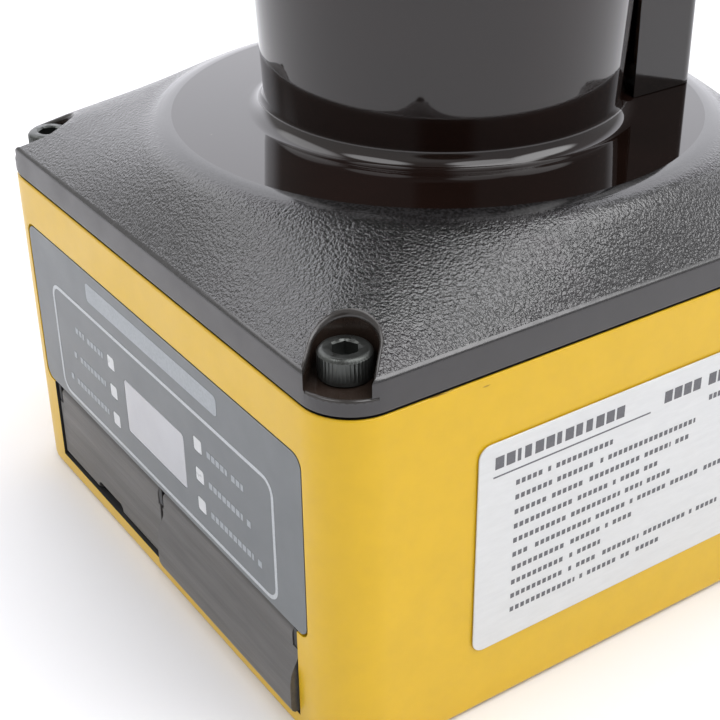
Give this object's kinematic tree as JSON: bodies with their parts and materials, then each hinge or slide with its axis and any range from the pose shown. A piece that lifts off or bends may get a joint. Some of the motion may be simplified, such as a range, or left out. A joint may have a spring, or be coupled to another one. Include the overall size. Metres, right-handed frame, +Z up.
{
  "type": "lidar scanner module",
  "caption": "Compact safety laser scanner: yellow cast base with operator panel and hinged service covers, black window dome, and a spinning 45 degree mirror inside.",
  "frame": {"origin": "centre of the flat bottom face of the yellow base", "axes": "+Z up along the mirror's spin axis, the operator panel faces -Y, the cable connector faces +Y, +X to the right of someone facing the panel"},
  "size_m": [0.0804, 0.0899, 0.095],
  "materials": {
    "yellow_paint": "satin",
    "black_polycarbonate": "gloss with textured shoulders",
    "dark_grey_plastic": "satin",
    "panel_grey": "satin overlay",
    "display_lens": "gloss",
    "light_guide": "gloss",
    "label_white": "satin",
    "black_oxide_steel": "black oxide",
    "steel": "machined",
    "machined_aluminium": "machined",
    "black_anodised": "black anodised",
    "cap_plastic": "fine texture",
    "mirror_coating": "polished",
    "optical_glass": "polished",
    "circuit_board": "solder mask",
    "copper_winding": "enamelled wire",
    "magnet": "nickel plated",
    "gasket_rubber": "matt",
    "gold_contact": "plated",
    "flex_film": "satin"
  },
  "bodies": {
    "scanner_body": {"base_housing": "yellow_paint", "housing_gasket": "gasket_rubber", "front_panel": "panel_grey", "display_window": "display_lens", "display_module": "dark_grey_plastic", "display_board": "circuit_board", "status_light_guide_left": "light_guide", "status_light_guide_right": "light_guide", "service_bay": "dark_grey_plastic", "cover_hinge_pin": "steel", "service_socket": "steel", "expansion_socket": "dark_grey_plastic", "product_label": "label_white", "window_cover": "black_polycarbonate", "rear_pillar": "cap_plastic", "top_cap": "cap_plastic", "emitter_board": "circuit_board", "laser_diode": "gold_contact", "collimator_barrel": "machined_aluminium", "collimator_lens": "optical_glass", "emitter_ribbon": "flex_film", "lower_bearing": "steel", "upper_bearing": "steel", "receiver_barrel": "machined_aluminium", "receiver_lens": "optical_glass", "detector_board": "circuit_board", "motor_stator": "copper_winding", "encoder_sensor": "dark_grey_plastic", "optical_chassis": "black_anodised", "main_board": "circuit_board", "power_board": "circuit_board", "board_link_connector": "dark_grey_plastic", "rear_connector": "steel", "connector_insert": "dark_grey_plastic", "connector_nut": "steel", "vent_plug": "dark_grey_plastic", "window_screw_1": "black_oxide_steel", "chassis_screw_1": "black_oxide_steel", "board_spacer_1": "gold_contact", "window_screw_2": "black_oxide_steel", "chassis_screw_2": "black_oxide_steel", "board_spacer_2": "gold_contact", "window_screw_3": "black_oxide_steel", "chassis_screw_3": "black_oxide_steel", "board_spacer_3": "gold_contact", "window_screw_4": "black_oxide_steel", "chassis_screw_4": "black_oxide_steel", "board_spacer_4": "gold_contact"},
    "scan_rotor": {"rotor_hub": "machined_aluminium", "magnet_ring": "magnet", "encoder_disc": "steel", "mirror_holder": "black_anodised", "receive_mirror": "mirror_coating", "emit_mirror": "mirror_coating"},
    "left_cover": {"service_cover_left": "dark_grey_plastic"},
    "right_cover": {"service_cover_right": "dark_grey_plastic"}
  },
  "joints": [
    {"name": "mirror_spin", "type": "hinge", "parent": "scanner_body", "child": "scan_rotor", "pos_m": [0, 0.002, 0.05], "axis": [0, 0, 1], "continuous": true},
    {"name": "left_cover_hinge", "type": "hinge", "parent": "scanner_body", "child": "left_cover", "pos_m": [-0.016, -0.0387, 0.0129], "axis": [-1, 0, 0], "range_deg": [0, 95]},
    {"name": "right_cover_hinge", "type": "hinge", "parent": "scanner_body", "child": "right_cover", "pos_m": [0.0155, -0.0387, 0.0129], "axis": [-1, 0, 0], "range_deg": [0, 95]}
  ]
}
